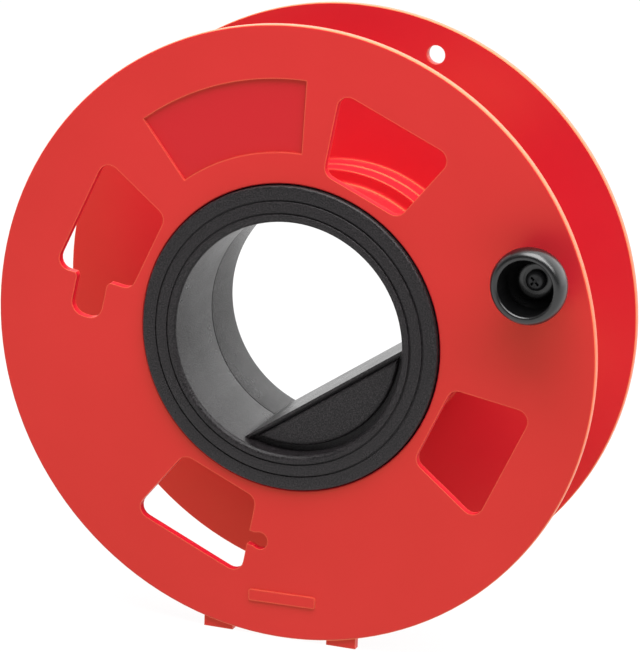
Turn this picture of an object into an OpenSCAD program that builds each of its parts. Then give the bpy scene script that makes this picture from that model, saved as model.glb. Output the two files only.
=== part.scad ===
// Cord storage reel: two-flange spool, centre spin handle with a D-shaped grip, winding knob.
//
// Every module is drawn in the reel's working frame: Z is the reel axis and points to the
// front, +X is right and +Y is up when the front is seen. place() stands the reel on its
// feet with +Z up and the front towards -Y. Rear pieces are drawn as fronts and turned over.

/* [Spool] */
// Outer diameter of the front flange
flange_d = 292; // [284:1:310]
// How much smaller the rear flange's radius is
rear_step = 2.5; // [0:0.5:4]
// Width over the two rims
spool_w = 84; // [80:1:92]
// Wall thickness of the flange discs
flange_t = 4.2; // [3:0.1:5]
// Depth of the front hub pocket's boss, from the rim to the winding space
boss_depth = 15.5; // [14:0.5:17]
// Depth of the rear hub pocket's boss
rear_boss_depth = 22.5; // [21:0.5:24]
// Wall thickness of the winding core
core_wall = 2.7; // [2.4:0.1:3.2]
// How far the feet reach below the rims
foot_drop = 0.5; // [0.5:0.5:4]

/* [Windows] */
// Mean width of each window across its chord, as an angle
window_span = 29; // [24:1:30]
// Corner radius of the windows
window_corner = 5.5; // [3:0.5:7]
// Width of the wide cord notch
wide_notch_w = 15.5; // [12:0.5:16]
// Radius of the small cord notch
small_notch_r = 4.2; // [3:0.1:5]

/* [Centre handle] */
// Diameter of the hand bore
bore_d = 110.6; // [109:0.2:112]
// Wall thickness of the hub tube
hub_wall = 2.4; // [2:0.1:3]
// Radial clearance between the hub tube and the winding core
hub_gap = 0.4; // [0.3:0.05:0.6]
// Outer diameter of the front bezel
bezel_d = 144.5; // [142:0.5:148]
// Outer diameter of the rear bezel
rear_bezel_d = 131.6; // [131:0.2:134]
// How far the front bezel stands in front of the front rim
bezel_proud = 3.5; // [2:0.5:6]
// How deep the rear bezel lies behind the face of the rear rim
rear_bezel_depth = 11.5; // [8:0.5:13]
// Distance from the reel axis to the flat of the D-shaped grip
grip_offset = 30; // [26:0.5:32]
// Angle of the grip's flat above the horizontal
grip_angle = 34.5; // [0:0.1:45]

/* [Knob] */
// Largest diameter of the knob
knob_d = 35; // [31:0.1:37]
// Height of the knob above the flange
knob_h = 24.5; // [22:0.5:30]
// Diameter of the knob's mouth
mouth_d = 25.4; // [20:0.1:26]
// Angle of the knob's place on the flange
knob_angle = 20.5; // [10:0.1:30]

/* [Hang hole] */
// Diameter of the hang hole in the rear flange
hang_d = 9; // [5:0.1:10]

/* [Hidden] */

orange = [0.83, 0.20, 0.16];
black = [0.16, 0.15, 0.16];
zinc = [0.75, 0.76, 0.78];
cut = 0.1;                          // how far a cutting solid passes a face
fit = 0.1;                          // gap between the faces of a lap joint

// Spool, axial places on one half, measured outwards from the middle plane
R = flange_d / 2;
face_z = spool_w / 2;               // outer face of the disc
disc_z = face_z - flange_t;         // inner face of the disc
boss_z = face_z - boss_depth;       // top of the front hub pocket's boss
rear_boss_z = face_z - rear_boss_depth;
floor_t = 2.5;                      // floor of the hub pockets
lap = 3;                            // length of the lap joint at the seams

// Spool, radii
bore_r = bore_d / 2;
hub_out = bore_r + hub_wall;
core_in = hub_out + hub_gap;
core_out = core_in + core_wall;
core_mid = core_in + core_wall / 2;
pocket_gap = 0.5;                   // from a bezel's edge to its pocket's wall
boss_wall = 1.9;

// Screws that join the spool halves
column_r = 4.3;
column_ring = core_out + 1.7;
column_angles = [for (i = [0:3]) 21 + 90 * i];
seat_z = 8;                         // depth of the screw heads' seats, from the middle plane
bite = 12;                          // length of thread in the front half

// Windows: centre angles, and the polar places of one window's corners
window_angles = [for (i = [0:3]) 65.9 + 90 * i];
window_in = 0.55 * R;
window_out = 0.8215 * R;
notch_ring = 0.6865 * R;

// Hang hole's place on the rear flange
hang_ring = 0.885 * R;
hang_angle = 72.45;

// Feet and moulded marks on the front disc
foot_x0 = 0.161 * R;
foot_x1 = 0.26 * R;
foot_top = 0.965 * R;
foot_z0 = disc_z - 1.2;
foot_z1 = face_z - 1.6;
label_in = 0.598 * R;
label_out = 0.831 * R;
label_angles = [88.2, 128.3];
label_depth = 1.2;
bar_size = [33, 5.4];
bar_place = [0.009 * R, -0.8665 * R];
bar_turn = 1;
bar_h = 0.8;

// Centre handle
seam_z = -1.5;                      // seam of the two hub halves, behind the middle plane
front_top = face_z + bezel_proud;   // front of the front bezel's inner ring
rear_top = face_z - rear_bezel_depth;
skirt_gap = 0.6;                    // from a pocket's floor to the bezel's skirt
skirt_wall = 2.2;
bezel_t = 4.4;                      // thickness of a bezel above its hollow
lip_r = bore_r + 4.5;               // groove round the bezel's inner lip
ring_share = 0.53;                  // share of the bezel taken by its sloping outer ring
groove_w = 0.7;
tube_mid = (bore_r + hub_out) / 2;
web_t = 2.5;                        // web across the grip at the seam
shelf_depth = 10;                   // depth of the grip cover's shelf, below the bezel
panel_t = 2.8;                      // thickness of the grip cover
grip_lip = 1.2;                     // thin front edge of the grip's flat
cavity_edge = 4.2;                  // wall of the grip around its cavity
hub_screw_places = [[0, -45.5], [26, -39.5], [-26, -39.5]];
peg_places = [[13, -41.5], [-13, -41.5]];
peg_r = 1.95;
peg_hole_r = 2;
peg_boss_r = 3.8;
screw_boss_r = 5.2;
head_seat = 1.5;                    // height of the seats under the hub screws' heads
cover_gap = 2.4;                    // from the grip's flat to the cover's straight edge
cover_trough = 3.2;                 // from the bore's radius to the cover's round edge
cover_round = 1.6;

// Knob, heights above the disc's outer face
knob_ring = 0.863 * R;
knob_r = knob_d / 2;
mouth_r = mouth_d / 2;
post_r = 3.8;
post_h = 6;
boss_step = 1;
boss_ring = 8;                      // radius of the step under the knob
neck_r = 10.6;
neck_z = boss_step + 1.1;
widest_z = knob_h - 6.2;
mouth_round = 1.4;
running_gap = 0.08;                 // radial clearance between the knob and its post
cup_floor = post_h - 0.4;

// Screw sizes: [shank radius, head radius, head height]; joining_screw holds both the spool
// halves and the hub halves together
joining_screw = [2, 3.1, 2.4];
knob_pan = [2, 4.8, 2.9];
clearance = 0.2;                    // round a screw's shank or head
thread_bite = 0.15;                 // overlap of a thread and its pilot hole
clearance_r = joining_screw[0] + clearance;
pilot_r = joining_screw[0] - thread_bite;

axis_h = R + foot_drop;
axis_y = knob_h / 2;                // centres the depth over the knob and the rear rim

$fn = 96;

// ---------------------------------------------------------------- helpers

function polar(r, a) = [r * cos(a), r * sin(a)];
function unit(v) = v / norm(v);
function arc(c, r, a0, a1, n) = [for (i = [0:n]) c + polar(r, a0 + (a1 - a0) * i / n)];

// Rounds the corner at p between the neighbours a and b
function corner(a, p, b, r) =
    let (u = unit(a - p), v = unit(b - p), half = acos(u * v) / 2,
         c = p + unit(u + v) * r / sin(half),
         s = p + u * r / tan(half) - c,
         e = p + v * r / tan(half) - c,
         a0 = atan2(s.y, s.x),
         turn = (atan2(e.y, e.x) - a0 + 540) % 360 - 180)
    arc(c, r, a0, a0 + turn, 6);

// Outline through [x, y, corner radius] points
function rounded(p) =
    let (n = len(p), xy = [for (q = p) [q.x, q.y]])
    [for (i = [0:n - 1]) each
        p[i].z == 0 ? [xy[i]] : corner(xy[(i + n - 1) % n], xy[i], xy[(i + 1) % n], p[i].z)];

module lathe(points) {
    rotate_extrude($fn = 180)
        polygon(rounded(points));
}

// Stands the reel on its feet, front towards -Y
module place() {
    translate([0, axis_y, axis_h])
        rotate([90, 0, 0])
            children();
}

// Turns a front piece into a rear one, keeping left and right as seen from the front
module rear() {
    mirror([0, 0, 1])
        children();
}

// A plain pin or hole along Z
module rod(r, z0, z1, n = 48) {
    translate([0, 0, z0])
        cylinder(r = r, h = z1 - z0, $fn = n);
}

// Pan-head screw with a cross recess; the head rests on z = 0 and the shank points to -Z
module pan_screw(size, length) {
    shank = size[0];
    head = size[1];
    height = size[2];
    difference() {
        union() {
            rotate_extrude($fn = 48)
                polygon(rounded([[0, 0, 0], [head, 0, 0.4], [head, height, height * 0.7],
                                 [0, height, 0]]));
            rod(shank, -length + 1.5, cut);
            translate([0, 0, -length])
                cylinder(r1 = shank * 0.4, r2 = shank, h = 1.5, $fn = 48);
        }
        for (a = [45, 135])
            rotate(a)
                translate([-head * 0.52, -0.55, height * 0.35])
                    cube([head * 1.04, 1.1, height]);
    }
}

// ---------------------------------------------------------------- spool halves

// Cross-section of one spool half: r is its flange's radius, bezel the diameter of the bezel
// in its pocket and boss the height of the pocket's boss. The front half carries the tongue of
// the core's lap joint.
function spool_section(r, bezel, boss, tongue) =
    let (pocket_r = bezel / 2 + pocket_gap, boss_r = pocket_r + boss_wall,
         floor_z = boss + floor_t, step_z = (boss + disc_z) / 2)
    concat(
    tongue
        ? [[core_in, -lap, 0], [core_mid, -lap, 0], [core_mid, 0, 0], [core_out, 0, 0]]
        : [[core_in, lap + fit, 0], [core_mid + fit, lap + fit, 0],
           [core_mid + fit, 0, 0], [core_out, 0, 0]],
    [[core_out, boss, 2],
     [boss_r - 0.6, boss, 1],
     [boss_r - 0.6, step_z, 0],
     [boss_r, step_z + 0.6, 0],
     [boss_r, disc_z, 1.5],
     [r, disc_z, 0.5],
     [r, face_z, 0.9],
     [pocket_r, face_z, 0.8],
     [pocket_r, floor_z, 1],
     [core_in, floor_z, 0.6]]);

// The two tabs under a rim
module feet() {
    for (side = [0, 1])
        mirror([side, 0, 0])
            translate([foot_x0, -axis_h, foot_z0])
                cube([foot_x1 - foot_x0, axis_h - foot_top, foot_z1 - foot_z0]);
}

module at_columns() {
    for (a = column_angles)
        rotate(a)
            translate([column_ring, 0, 0])
                children();
}

// One window's outline, in its own frame with the centre line along +X
module window_shape() {
    half = window_span / 2;
    a = polar(window_in, -half);
    b = polar(window_out, -half);
    c = polar(window_out, half);
    d = polar(window_in, half);
    polygon(rounded([[a.x, a.y, window_corner], [b.x, b.y, window_corner],
                     [c.x, c.y, window_corner], [d.x, d.y, window_corner]]));
}

// Notch with a round end that leads sideways out of a window, for a cord's end
module wide_notch_shape() {
    half = wide_notch_w / 2;
    side = window_span / 2 - 1;
    translate(polar(notch_ring, side))
        rotate(side)
            polygon(rounded([[-half - 4, 0, 0], [-half, 2.6, 3], [-half, 21.3, 6.5],
                             [half, 21.3, 6.5], [half, 2.6, 3], [half + 4, 0, 0]]));
}

module small_notch_shape() {
    side = window_span / 2;
    translate(polar(notch_ring, side))
        rotate(side) {
            translate([0, 5.6])
                circle(r = small_notch_r, $fn = 48);
            translate([-small_notch_r * 0.8, -2])
                square([small_notch_r * 1.6, 7]);
        }
}

module label_recess() {
    a0 = label_angles[0];
    a1 = label_angles[1];
    translate([0, 0, face_z - label_depth])
        linear_extrude(label_depth + cut)
            polygon(concat(arc([0, 0], label_out, a0, a1, 24),
                           arc([0, 0], label_in, a1, a0, 24)));
}

module blank_bar() {
    x = bar_size.x / 2;
    y = bar_size.y / 2;
    translate([bar_place.x, bar_place.y, face_z - cut])
        rotate(bar_turn)
            linear_extrude(bar_h + cut)
                polygon(rounded([[-x, -y, 1], [x, -y, 1], [x, y, 1], [-x, y, 1]]));
}

module knob_place() {
    translate(concat(polar(knob_ring, knob_angle), face_z))
        children();
}

module front_flange() {
    color(orange)
        place()
            difference() {
                union() {
                    lathe(spool_section(R, bezel_d, boss_z, true));
                    feet();
                    blank_bar();
                    at_columns()
                        rod(column_r, 0, boss_z + 1);
                    knob_place() {
                        rod(boss_ring, -1, boss_step);
                        rod(post_r, -1, post_h);
                    }
                }
                for (a = window_angles)
                    rotate(a)
                        translate([0, 0, disc_z - cut])
                            linear_extrude(flange_t + 2 * cut)
                                window_shape();
                translate([0, 0, disc_z - cut])
                    linear_extrude(flange_t + 2 * cut) {
                        rotate(window_angles[1])
                            wide_notch_shape();
                        rotate(window_angles[2])
                            small_notch_shape();
                    }
                label_recess();
                at_columns()
                    rod(pilot_r, -cut, bite + 2);
                knob_place()
                    rod(knob_pan[0] - thread_bite, -flange_t - cut, post_h + cut);
            }
}

module rear_flange() {
    color(orange)
        place()
            rear()
                difference() {
                    union() {
                        lathe(spool_section(R - rear_step, rear_bezel_d, rear_boss_z, false));
                        feet();
                        at_columns()
                            rod(column_r, 0, rear_boss_z + 1);
                    }
                    rod(core_mid + fit, -cut, lap + fit, 180);
                    at_columns() {
                        rod(clearance_r, -cut, seat_z + cut);
                        rod(joining_screw[1] + clearance, seat_z, rear_boss_z + floor_t + cut);
                    }
                    translate(polar(hang_ring, hang_angle))
                        rod(hang_d / 2, disc_z - cut, face_z + cut);
                }
}

module spool_screws() {
    color(zinc)
        place()
            rear()
                at_columns()
                    translate([0, 0, seat_z])
                        pan_screw(joining_screw, seat_z + bite);
}

// ---------------------------------------------------------------- centre handle

// Cross-section of a hub half: seam is its inner end, top the front of its bezel and boss the
// height of the pocket's boss, all measured from the middle plane; bezel is its diameter
function hub_section(seam, top, bezel, boss, tongue) =
    let (bezel_r = bezel / 2, ring_r = bezel_r - ring_share * (bezel_r - lip_r),
         skirt_z = boss + floor_t + skirt_gap, hollow_z = top - bezel_t)
    concat(
    tongue
        ? [[bore_r + 0.4, seam, 0], [tube_mid, seam, 0], [tube_mid, seam - lap, 0],
           [hub_out, seam - lap, 0]]
        : [[bore_r + 0.4, seam, 0], [tube_mid - fit, seam, 0],
           [tube_mid - fit, seam + lap + fit, 0], [hub_out, seam + lap + fit, 0]],
    hollow_z > skirt_z + 1
        ? [[hub_out, hollow_z + 1, 1], [bezel_r - skirt_wall, hollow_z, 1],
           [bezel_r - skirt_wall, skirt_z, 0.4]]
        : [[hub_out, skirt_z, 0.6]],
    [[bezel_r, skirt_z, 0.4],
     [bezel_r, top - 1.4, 1.2],
     [ring_r, top - 1.2, 0.3],
     [ring_r, top - 1.9, 0],
     [ring_r - groove_w, top - 1.9, 0],
     [ring_r - groove_w, top - 0.7, 0.3],
     [lip_r, top - 0.5, 0.3],
     [lip_r, top - 1.2, 0],
     [lip_r - groove_w, top - 1.2, 0],
     [lip_r - groove_w, top, 0.3],
     [bore_r, top, 2.2],
     [bore_r, seam + 0.4, 0]]);

// D-shaped outline below the grip's flat: depth below the flat's face, and arc radius
function d_outline(top, r) =
    let (y = -grip_offset - top, a = asin(-y / r))
    arc([0, 0], r, 180 + a, 360 - a, 40);

module d_block(top, r, z0, z1) {
    translate([0, 0, z0])
        linear_extrude(z1 - z0)
            polygon(d_outline(top, r));
}

// One half of the grip: a D-shaped box, open to the outside, with a web at the seam. The screw
// bosses stand boss_h above the web, and their holes reach hole_h above it.
module grip_half(seam, top, boss_h, hole_r, hole_h) {
    shelf = top - shelf_depth;
    difference() {
        union() {
            d_block(0, bore_r + 1, seam, shelf);
            difference() {
                d_block(0, bore_r + 1, shelf - cut, shelf + panel_t + 0.5);
                d_block(grip_lip, bore_r + 2, shelf - cut, top);
            }
        }
        difference() {
            d_block(cavity_edge, bore_r - cavity_edge, seam + web_t, shelf + cut);
            for (p = hub_screw_places)
                translate(p)
                    rod(screw_boss_r, seam, seam + web_t + boss_h);
            for (p = peg_places)
                translate(p)
                    rod(peg_boss_r, seam, shelf - 6);
        }
        for (p = hub_screw_places)
            translate(p)
                rod(hole_r, seam - cut, seam + web_t + hole_h);
        for (p = peg_places)
            translate(p)
                rod(peg_hole_r, shelf - 14, shelf);
    }
}

module front_hub() {
    color(black)
        place()
            rotate(grip_angle)
                union() {
                    lathe(hub_section(seam_z, front_top, bezel_d, boss_z, true));
                    grip_half(seam_z, front_top, 14, pilot_r, 12);
                }
}

module rear_hub() {
    color(black)
        place()
            rotate(grip_angle)
                rear()
                    union() {
                        lathe(hub_section(-seam_z, rear_top, rear_bezel_d, rear_boss_z,
                                          false));
                        grip_half(-seam_z, rear_top, head_seat, clearance_r, head_seat + cut);
                    }
}

module hub_screws() {
    color(zinc)
        place()
            rotate(grip_angle)
                rear()
                    for (p = hub_screw_places)
                        translate([p.x, p.y, -seam_z + web_t + head_seat])
                            pan_screw(joining_screw, 16);
}

// D-shaped panel with a rounded edge and two pegs behind it, for the bezel at top
module grip_cover(top) {
    shelf = top - shelf_depth;
    back = shelf + 0.05;
    front = back + panel_t;
    hull()
        for (a = [0, 30, 60, 90])
            d_block(cover_gap + cover_round * (1 - cos(a)),
                    bore_r - cover_trough - cover_round * (1 - cos(a)),
                    back, front - cover_round * (1 - sin(a)));
    for (p = peg_places)
        translate(p)
            rod(peg_r, shelf - 13, back + 1);
}

module front_grip_cover() {
    color(black)
        place()
            rotate(grip_angle)
                grip_cover(front_top);
}

module rear_grip_cover() {
    color(black)
        place()
            rotate(grip_angle)
                rear()
                    grip_cover(rear_top);
}

// ---------------------------------------------------------------- winding knob

// The knob's outer side: a cove from the neck to the widest place, then a round shoulder
function knob_side() = concat(
    [for (t = [1:10])
        [neck_r + (knob_r - neck_r) * sin(9 * t),
         neck_z + (widest_z - neck_z) * t / 10]],
    [for (a = [10:10:90])
        [mouth_r + mouth_round + (knob_r - mouth_r - mouth_round) * cos(a),
         widest_z + (knob_h - widest_z) * sin(a)]]);

module knob() {
    base_z = boss_step + 0.3;
    color(black)
        place()
            knob_place()
                difference() {
                    rotate_extrude($fn = 96)
                        polygon(concat(
                            [[0, base_z], [neck_r - 0.8, base_z], [neck_r, neck_z]],
                            knob_side(),
                            arc([mouth_r + mouth_round, knob_h - mouth_round], mouth_round,
                                90, 180, 6),
                            rounded([[mouth_r - 0.2, knob_h - 5, 0],
                                     [mouth_r - 1, cup_floor + 6.4, 4],
                                     [8, cup_floor, 3],
                                     [0, cup_floor, 0]])));
                    rod(post_r + running_gap, -cut, cup_floor + cut);
                }
}

module knob_screw() {
    color(black)
        place()
            knob_place()
                translate([0, 0, post_h])
                    pan_screw(knob_pan, post_h + flange_t - 0.5);
}

front_flange();
rear_flange();
spool_screws();
front_hub();
rear_hub();
hub_screws();
front_grip_cover();
rear_grip_cover();
knob();
knob_screw();
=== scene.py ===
"""Looks for the cord storage reel: materials, edge finish, floor, light and camera."""
import math
import bpy
from mathutils import Matrix, Vector


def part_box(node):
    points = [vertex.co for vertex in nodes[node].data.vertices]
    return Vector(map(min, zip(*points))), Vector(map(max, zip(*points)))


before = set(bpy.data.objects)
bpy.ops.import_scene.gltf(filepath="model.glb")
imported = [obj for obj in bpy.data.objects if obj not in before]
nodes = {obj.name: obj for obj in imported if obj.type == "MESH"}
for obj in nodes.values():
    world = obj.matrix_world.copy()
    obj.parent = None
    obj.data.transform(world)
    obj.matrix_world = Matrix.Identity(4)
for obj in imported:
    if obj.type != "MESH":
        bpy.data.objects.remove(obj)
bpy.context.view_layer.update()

# ------------------------------------------------------------------ measures from the frame

front_low, front_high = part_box("front_flange")
FLANGE_R = (front_high.x - front_low.x) / 2
AXIS_X = (front_high.x + front_low.x) / 2
AXIS_Z = front_high.z - FLANGE_R
SPOOL_W = 0.084                     # width over the two rims
LABEL_DEPTH = 0.0012                # depth of the label recess
MASK_REACH = 0.0004                 # how far from its place a surface still counts as there
rear_low, rear_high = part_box("rear_flange")
REAR_FLANGE_R = (rear_high.x - rear_low.x) / 2
RIM_FRONT_Y = rear_high.y - SPOOL_W
MIDDLE_Y = rear_high.y - SPOOL_W / 2
RECESS_Y = RIM_FRONT_Y + LABEL_DEPTH


# ------------------------------------------------------------------ node helpers

class Shader:
    """A Principled material under construction, with short calls for the nodes used here."""

    def __init__(self, name):
        self.material = bpy.data.materials.new(name)
        self.material.use_nodes = True
        self.tree = self.material.node_tree
        self.bsdf = self.tree.nodes["Principled BSDF"]
        self.coords = self.tree.nodes.new("ShaderNodeTexCoord").outputs["Object"]

    def link(self, value, socket):
        self.tree.links.new(value, socket)

    def set(self, **values):
        for name, value in values.items():
            self.bsdf.inputs[name.replace("_", " ")].default_value = value

    def stretched(self, scale):
        node = self.tree.nodes.new("ShaderNodeMapping")
        node.inputs["Scale"].default_value = scale
        self.link(self.coords, node.inputs["Vector"])
        return node.outputs["Vector"]

    def noise(self, scale, detail=2.0, roughness=0.5, vector=None):
        node = self.tree.nodes.new("ShaderNodeTexNoise")
        node.inputs["Scale"].default_value = scale
        node.inputs["Detail"].default_value = detail
        node.inputs["Roughness"].default_value = roughness
        self.link(vector or self.coords, node.inputs["Vector"])
        return node.outputs["Fac"]

    def ramp(self, value, low, high, out_low=0.0, out_high=1.0):
        node = self.tree.nodes.new("ShaderNodeMapRange")
        for name, number in zip(("From Min", "From Max", "To Min", "To Max"),
                                (low, high, out_low, out_high)):
            node.inputs[name].default_value = number
        self.link(value, node.inputs["Value"])
        return node.outputs["Result"]

    def math(self, operation, a, b):
        node = self.tree.nodes.new("ShaderNodeMath")
        node.operation = operation
        for socket, value in zip(node.inputs, (a, b)):
            if isinstance(value, (int, float)):
                socket.default_value = value
            else:
                self.link(value, socket)
        return node.outputs["Value"]

    def mix(self, factor, a, b):
        node = self.tree.nodes.new("ShaderNodeMix")
        node.data_type = "RGBA"
        for socket, value in zip((node.inputs[0], node.inputs[6], node.inputs[7]),
                                 (factor, a, b)):
            if isinstance(value, (int, float, tuple)):
                socket.default_value = value
            else:
                self.link(value, socket)
        return node.outputs[2]

    def edge(self, radius):
        """1 on sharp edges, 0 on flat faces."""
        bevel = self.tree.nodes.new("ShaderNodeBevel")
        bevel.samples = 6
        bevel.inputs["Radius"].default_value = radius
        geometry = self.tree.nodes.new("ShaderNodeNewGeometry")
        dot = self.tree.nodes.new("ShaderNodeVectorMath")
        dot.operation = "DOT_PRODUCT"
        self.link(bevel.outputs["Normal"], dot.inputs[0])
        self.link(geometry.outputs["Normal"], dot.inputs[1])
        return self.ramp(dot.outputs["Value"], 1.0, 0.8)

    def near(self, value, middle):
        """1 where value is within MASK_REACH of middle, 0 elsewhere."""
        offset = self.math("ABSOLUTE", self.math("SUBTRACT", value, middle), 0)
        return self.math("LESS_THAN", offset, MASK_REACH)

    def depth(self):
        """The place along the reel axis."""
        axes = self.tree.nodes.new("ShaderNodeSeparateXYZ")
        self.link(self.coords, axes.inputs["Vector"])
        return axes.outputs["Y"]

    def near_radius(self, radius):
        """1 where a surface lies at radius from the reel axis, 0 elsewhere."""
        spot = self.tree.nodes.new("ShaderNodeMapping")
        spot.inputs["Location"].default_value = (-AXIS_X, 0, -AXIS_Z)
        spot.inputs["Scale"].default_value = (1, 0, 1)
        self.link(self.coords, spot.inputs["Vector"])
        length = self.tree.nodes.new("ShaderNodeVectorMath")
        length.operation = "LENGTH"
        self.link(spot.outputs["Vector"], length.inputs[0])
        return self.near(length.outputs["Value"], radius)

    def bump(self, *layers):
        """Each layer is (height, strength, distance in metres)."""
        normal = None
        for height, strength, distance in layers:
            node = self.tree.nodes.new("ShaderNodeBump")
            node.inputs["Strength"].default_value = strength
            node.inputs["Distance"].default_value = distance
            self.link(height, node.inputs["Height"])
            if normal is not None:
                self.link(normal, node.inputs["Normal"])
            normal = node.outputs["Normal"]
        self.link(normal, self.bsdf.inputs["Normal"])


def orange_shell():
    s = Shader("orange_shell")
    tone = s.noise(9, 3, 0.55)
    base = s.mix(s.ramp(tone, 0.35, 0.65), (0.59, 0.0135, 0.028, 1), (0.63, 0.0165, 0.032, 1))
    # Painted shade: the label recess floor is painted a darker crimson, standing in for the
    # shadow its walls cast on it.
    recess = s.mix(s.near(s.depth(), RECESS_Y), base, (0.56, 0.002, 0.026, 1))
    # Painted highlight: sharp edges (at 0.3) and both flange rims (at 0.5) are painted pale
    # orange, standing in for the light line that catches them.
    painted_edge_highlight = s.math("MULTIPLY", s.edge(0.001), 0.3)
    rear_rim = s.math("MULTIPLY", s.near_radius(REAR_FLANGE_R),
                      s.math("GREATER_THAN", s.depth(), MIDDLE_Y))
    rims = s.math("MAXIMUM", s.near_radius(FLANGE_R), rear_rim)
    painted_highlight = s.math("MAXIMUM", painted_edge_highlight, s.math("MULTIPLY", rims, 0.5))
    s.link(s.mix(painted_highlight, recess, (0.98, 0.32, 0.14, 1)), s.bsdf.inputs["Base Color"])
    scuffs = s.noise(60, 6, 0.7, s.stretched((1, 1, 5)))
    s.link(s.ramp(scuffs, 0.3, 0.75, 0.34, 0.46), s.bsdf.inputs["Roughness"])
    s.bump((s.noise(25, 2, 0.5), 0.05, 0.002), (s.noise(2600, 2, 0.5), 0.06, 0.0002))
    s.set(Specular_IOR_Level=0.5, Specular_Tint=(1.0, 0.80, 0.20, 1.0))
    return s.material


def black_hub():
    s = Shader("black_hub")
    grain = s.noise(1500, 4, 0.65)
    specks = s.ramp(grain, 0.42, 0.66)
    s.link(s.mix(specks, (0.002, 0.0018, 0.002, 1), (0.040, 0.034, 0.037, 1)),
           s.bsdf.inputs["Base Color"])
    s.link(s.ramp(s.noise(40, 4, 0.6), 0.3, 0.7, 0.26, 0.36), s.bsdf.inputs["Roughness"])
    s.bump((specks, 0.35, 0.0003))
    s.set(Specular_IOR_Level=0.32)
    return s.material


def black_knob():
    s = Shader("black_knob")
    s.link(s.mix(s.noise(30, 3), (0.0015, 0.0015, 0.0017, 1), (0.004, 0.004, 0.0044, 1)),
           s.bsdf.inputs["Base Color"])
    s.link(s.ramp(s.noise(90, 5, 0.65), 0.3, 0.7, 0.24, 0.34), s.bsdf.inputs["Roughness"])
    s.bump((s.noise(1500, 3, 0.5), 0.08, 0.0002))
    s.set(Specular_IOR_Level=0.75)
    return s.material


def zinc_screw():
    s = Shader("zinc_screw")
    s.link(s.mix(s.noise(300, 4), (0.50, 0.51, 0.53, 1), (0.70, 0.71, 0.72, 1)),
           s.bsdf.inputs["Base Color"])
    s.link(s.ramp(s.noise(900, 4), 0.3, 0.7, 0.25, 0.45), s.bsdf.inputs["Roughness"])
    s.set(Metallic=1.0)
    s.bump((s.noise(3000, 2), 0.1, 0.0001))
    return s.material


def black_screw():
    s = Shader("black_screw")
    s.link(s.mix(s.noise(500, 4), (0.015, 0.015, 0.016, 1), (0.05, 0.05, 0.052, 1)),
           s.bsdf.inputs["Base Color"])
    s.link(s.ramp(s.noise(900, 4), 0.3, 0.7, 0.3, 0.45), s.bsdf.inputs["Roughness"])
    s.set(Metallic=0.6)
    s.bump((s.noise(3000, 2), 0.1, 0.0001))
    return s.material


# ------------------------------------------------------------------ finish of the CAD nodes

def finish_node(name, material, radius):
    """Gives a CAD node its material, and rounds its sharp edges by radius."""
    piece = nodes[name]
    piece.data.materials.clear()
    piece.data.materials.append(material)
    weld = piece.modifiers.new("weld", "WELD")
    weld.merge_threshold = 1e-6
    bevel = piece.modifiers.new("rounding", "BEVEL")
    bevel.width = radius
    bevel.segments = 2
    bevel.limit_method = "ANGLE"
    bevel.angle_limit = math.radians(35)
    bevel.harden_normals = True
    bevel.use_clamp_overlap = True


shell, hub, dark, zinc, oxide = (orange_shell(), black_hub(), black_knob(), zinc_screw(),
                                 black_screw())
for name, material, radius in (("front_flange", shell, 0.0003), ("rear_flange", shell, 0.0003),
                               ("front_hub", hub, 0.0003), ("rear_hub", hub, 0.0003),
                               ("front_grip_cover", hub, 0.0002),
                               ("rear_grip_cover", hub, 0.0002),
                               ("knob", dark, 0.0002), ("spool_screws", zinc, 0.0001),
                               ("hub_screws", zinc, 0.0001), ("knob_screw", oxide, 0.0001)):
    finish_node(name, material, radius)


# ------------------------------------------------------------------ floor, light, camera

# Strength of the world in front of the reel and behind it
WORLD_FRONT = 0.17
WORLD_REAR = 1.9

def make_floor():
    bpy.ops.mesh.primitive_plane_add(size=14, location=(0, 0, 0))
    floor = bpy.context.object
    floor.name = "floor"
    material = bpy.data.materials.new("floor")
    material.use_nodes = True
    inputs = material.node_tree.nodes["Principled BSDF"].inputs
    inputs["Base Color"].default_value = (0.06, 0.06, 0.06, 1)
    inputs["Roughness"].default_value = 1.0
    inputs["Specular IOR Level"].default_value = 0.0
    inputs["Emission Color"].default_value = (1, 1, 1, 1)
    inputs["Emission Strength"].default_value = 0.95
    floor.data.materials.append(material)


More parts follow.
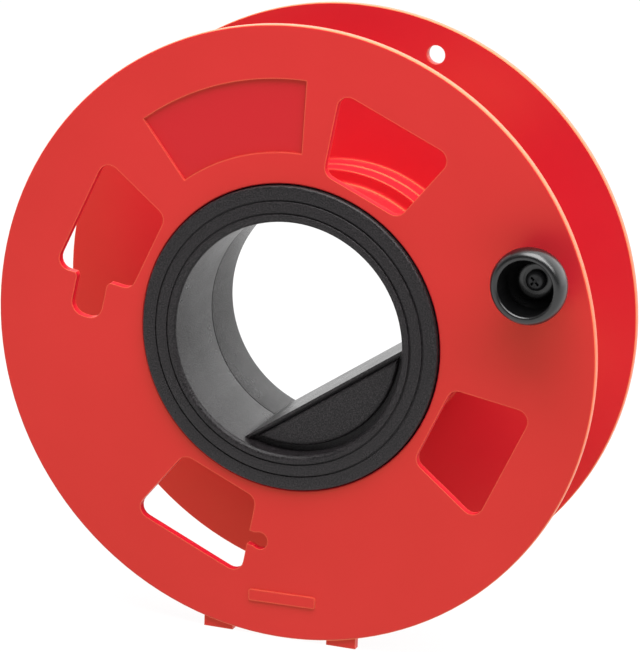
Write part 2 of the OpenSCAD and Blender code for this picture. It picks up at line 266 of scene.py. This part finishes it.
def make_world():
    """A white studio: bright behind the reel, dim in front of it."""
    world = bpy.data.worlds.new("studio")
    world.use_nodes = True
    tree = world.node_tree
    background = tree.nodes["Background"]
    background.inputs["Color"].default_value = (1, 1, 1, 1)
    coords = tree.nodes.new("ShaderNodeTexCoord")
    axes = tree.nodes.new("ShaderNodeSeparateXYZ")
    tree.links.new(coords.outputs["Generated"], axes.inputs["Vector"])
    ramp = tree.nodes.new("ShaderNodeMapRange")
    for name, number in (("From Min", -0.35), ("From Max", 0.45), ("To Min", WORLD_FRONT),
                         ("To Max", WORLD_REAR)):
        ramp.inputs[name].default_value = number
    tree.links.new(axes.outputs["Y"], ramp.inputs["Value"])
    tree.links.new(ramp.outputs["Result"], background.inputs["Strength"])
    bpy.context.scene.world = world


def make_light(name, place, size, power):
    """A round soft light at place from the middle of the reel, aimed at it."""
    data = bpy.data.lights.new(name, "AREA")
    data.shape = "DISK"
    data.size = size
    data.energy = power
    lamp = bpy.data.objects.new(name, data)
    bpy.context.scene.collection.objects.link(lamp)
    target = Vector((AXIS_X, 0, AXIS_Z))
    lamp.location = target + Vector(place)
    lamp.rotation_mode = "QUATERNION"
    lamp.rotation_quaternion = (-Vector(place)).to_track_quat("-Z", "Y")


def make_camera():
    """The camera fitted to the photo; its places are shares of the front flange's radius."""
    azimuth, elevation, roll = math.radians(19.25), math.radians(15.39), 0.0399
    back = Vector((math.sin(azimuth) * math.cos(elevation),
                   -math.cos(azimuth) * math.cos(elevation), math.sin(elevation)))
    level = Vector((math.cos(azimuth), math.sin(azimuth), 0))
    up = back.cross(level)
    side = level * math.cos(roll) + up * math.sin(roll)
    top = up * math.cos(roll) - level * math.sin(roll)
    target = Vector((AXIS_X + 0.1013 * FLANGE_R, RIM_FRONT_Y, AXIS_Z + 0.055 * FLANGE_R))
    data = bpy.data.cameras.new("camera")
    data.lens = 198.8
    data.sensor_width = 36
    camera = bpy.data.objects.new("camera", data)
    bpy.context.scene.collection.objects.link(camera)
    place = target + back * 11.302 * FLANGE_R
    camera.matrix_world = Matrix((
        (side.x, top.x, back.x, place.x),
        (side.y, top.y, back.y, place.y),
        (side.z, top.z, back.z, place.z),
        (0, 0, 0, 1)))
    bpy.context.scene.camera = camera


make_floor()
make_world()
make_light("overhead", (0.2, -0.55, 2.2), 2.2, 92)
make_light("side", (1.1, -0.6, 1.2), 0.8, 10)
make_camera()
bpy.context.scene.view_settings.view_transform = "Standard"
